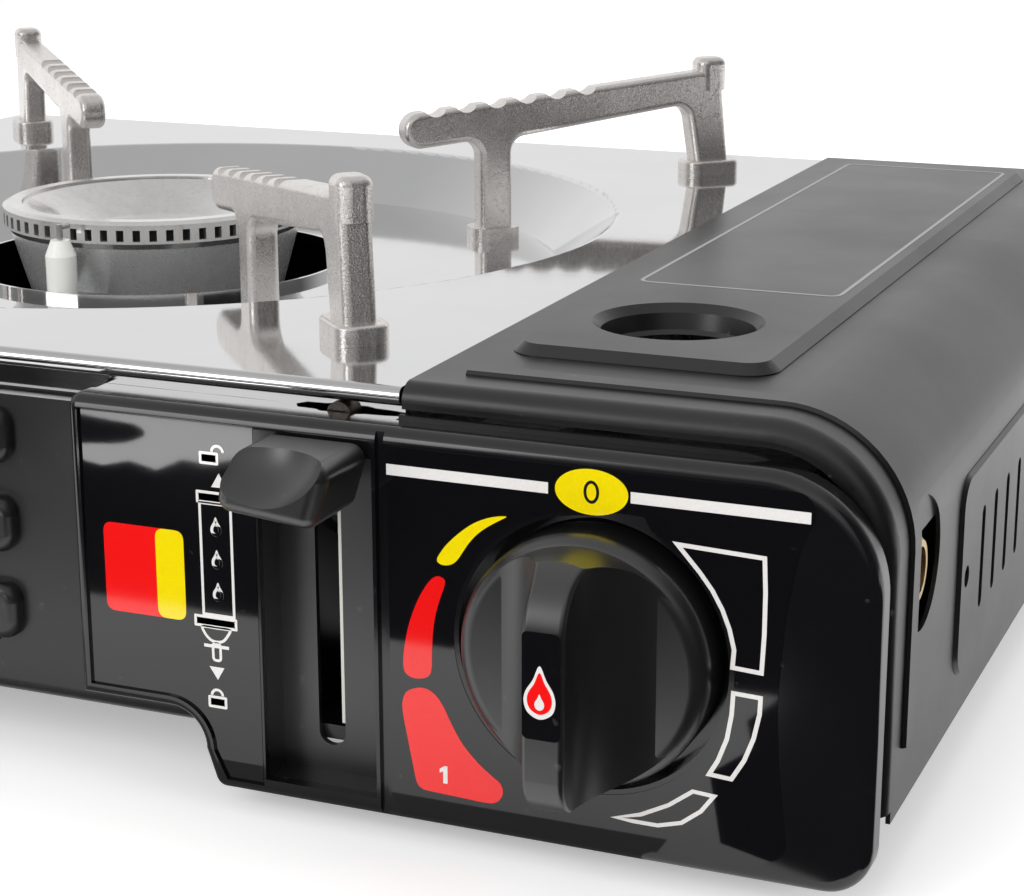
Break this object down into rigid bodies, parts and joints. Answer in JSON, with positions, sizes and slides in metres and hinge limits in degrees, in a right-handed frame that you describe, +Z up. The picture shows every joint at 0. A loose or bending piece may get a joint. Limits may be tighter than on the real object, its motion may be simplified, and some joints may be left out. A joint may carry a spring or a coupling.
{
  "type": "butane cassette stove",
  "caption": "Table-top cassette stove: mirror plate with burner and cast pan supports, hinged cartridge cover, gas knob, lock lever and side gas inlet.",
  "frame": {"origin": "middle of the footprint on the table, knob grip included", "axes": "+X to the user's right, +Y to the back, +Z up"},
  "size_m": [0.345, 0.302, 0.1104],
  "materials": {
    "case_black": "semi-gloss black paint",
    "foot_rubber": "matte rubber",
    "mirror_steel": "bright mirror-finish stainless steel",
    "cast_support": "rough satin casting",
    "screw_steel": "zinc plated",
    "old_screw": "dulled and stained steel",
    "cast_burner": "fine cast, bright lip",
    "burner_grey": "satin casting",
    "galvanised": "galvanised sheet",
    "brass": "turned brass",
    "pipe_aluminium": "drawn tube",
    "die_cast": "die-cast zinc alloy",
    "knob_plastic": "satin black plastic",
    "cam_plastic": "natural plastic",
    "igniter_plastic": "smooth plastic",
    "white_ceramic": "glazed white ceramic",
    "panel_gloss": "gloss black",
    "pale_strip": "pale plastic",
    "cover_powder": "satin black powder coat"
  },
  "bodies": {
    "stove": {"base_case": "case_black", "rubber_feet": "foot_rubber", "top_plate": "mirror_steel", "support_back_right": "cast_support", "support_back_left": "cast_support", "support_front_left": "cast_support", "support_front_right": "cast_support", "support_screws": "screw_steel", "plate_screws": "old_screw", "burner_ring": "cast_burner", "burner_cap": "cast_burner", "burner_body": "burner_grey", "burner_foot": "galvanised", "mixing_tube": "galvanised", "air_ring": "galvanised", "jet_holder": "brass", "tube_saddle": "galvanised", "gas_pipe": "pipe_aluminium", "regulator_body": "die_cast", "regulator_cap": "galvanised", "regulator_bracket": "galvanised", "bracket_screws": "screw_steel", "cartridge_socket": "brass", "collar_guide": "galvanised", "brass_inlet": "brass", "igniter_body": "igniter_plastic", "igniter_electrode": "white_ceramic", "electrode_wire": "screw_steel", "electrode_clip": "galvanised", "control_panel": "panel_gloss", "lever_channel": "knob_plastic", "slot_liner": "pale_strip", "lever_pin": "screw_steel", "lever_bracket": "galvanised", "heat_shield": "galvanised", "hinge_pins": "screw_steel"},
    "cover": {"cartridge_cover": "cover_powder"},
    "knob": {"gas_knob": "knob_plastic", "knob_shaft": "brass", "igniter_cam": "cam_plastic"},
    "lever": {"lever_arm": "galvanised", "lever_grip": "knob_plastic"},
    "pusher": {"cartridge_pusher": "galvanised"}
  },
  "joints": [
    {"name": "cover_hinge", "type": "hinge", "parent": "stove", "child": "cover", "pos_m": [0.169, 0.0146, 0.0152], "axis": [0, 1, 0], "range_deg": [0, 80]},
    {"name": "knob_turn", "type": "hinge", "parent": "stove", "child": "knob", "pos_m": [0.1235, -0.14, 0.0405], "axis": [0, -1, 0], "range_deg": [0, 125]},
    {"name": "lever_swing", "type": "hinge", "parent": "stove", "child": "lever", "pos_m": [0.0715, -0.093, 0.042], "axis": [1, 0, 0], "range_deg": [0, 56]},
    {"name": "pusher_slide", "type": "slide", "parent": "stove", "child": "pusher", "axis": [0, -1, 0], "range_m": [0, 0.00752]}
  ],
  "couplings": [
    {"joint": "pusher_slide", "follows": "lever_swing", "m_per_rad": 0.007686}
  ]
}
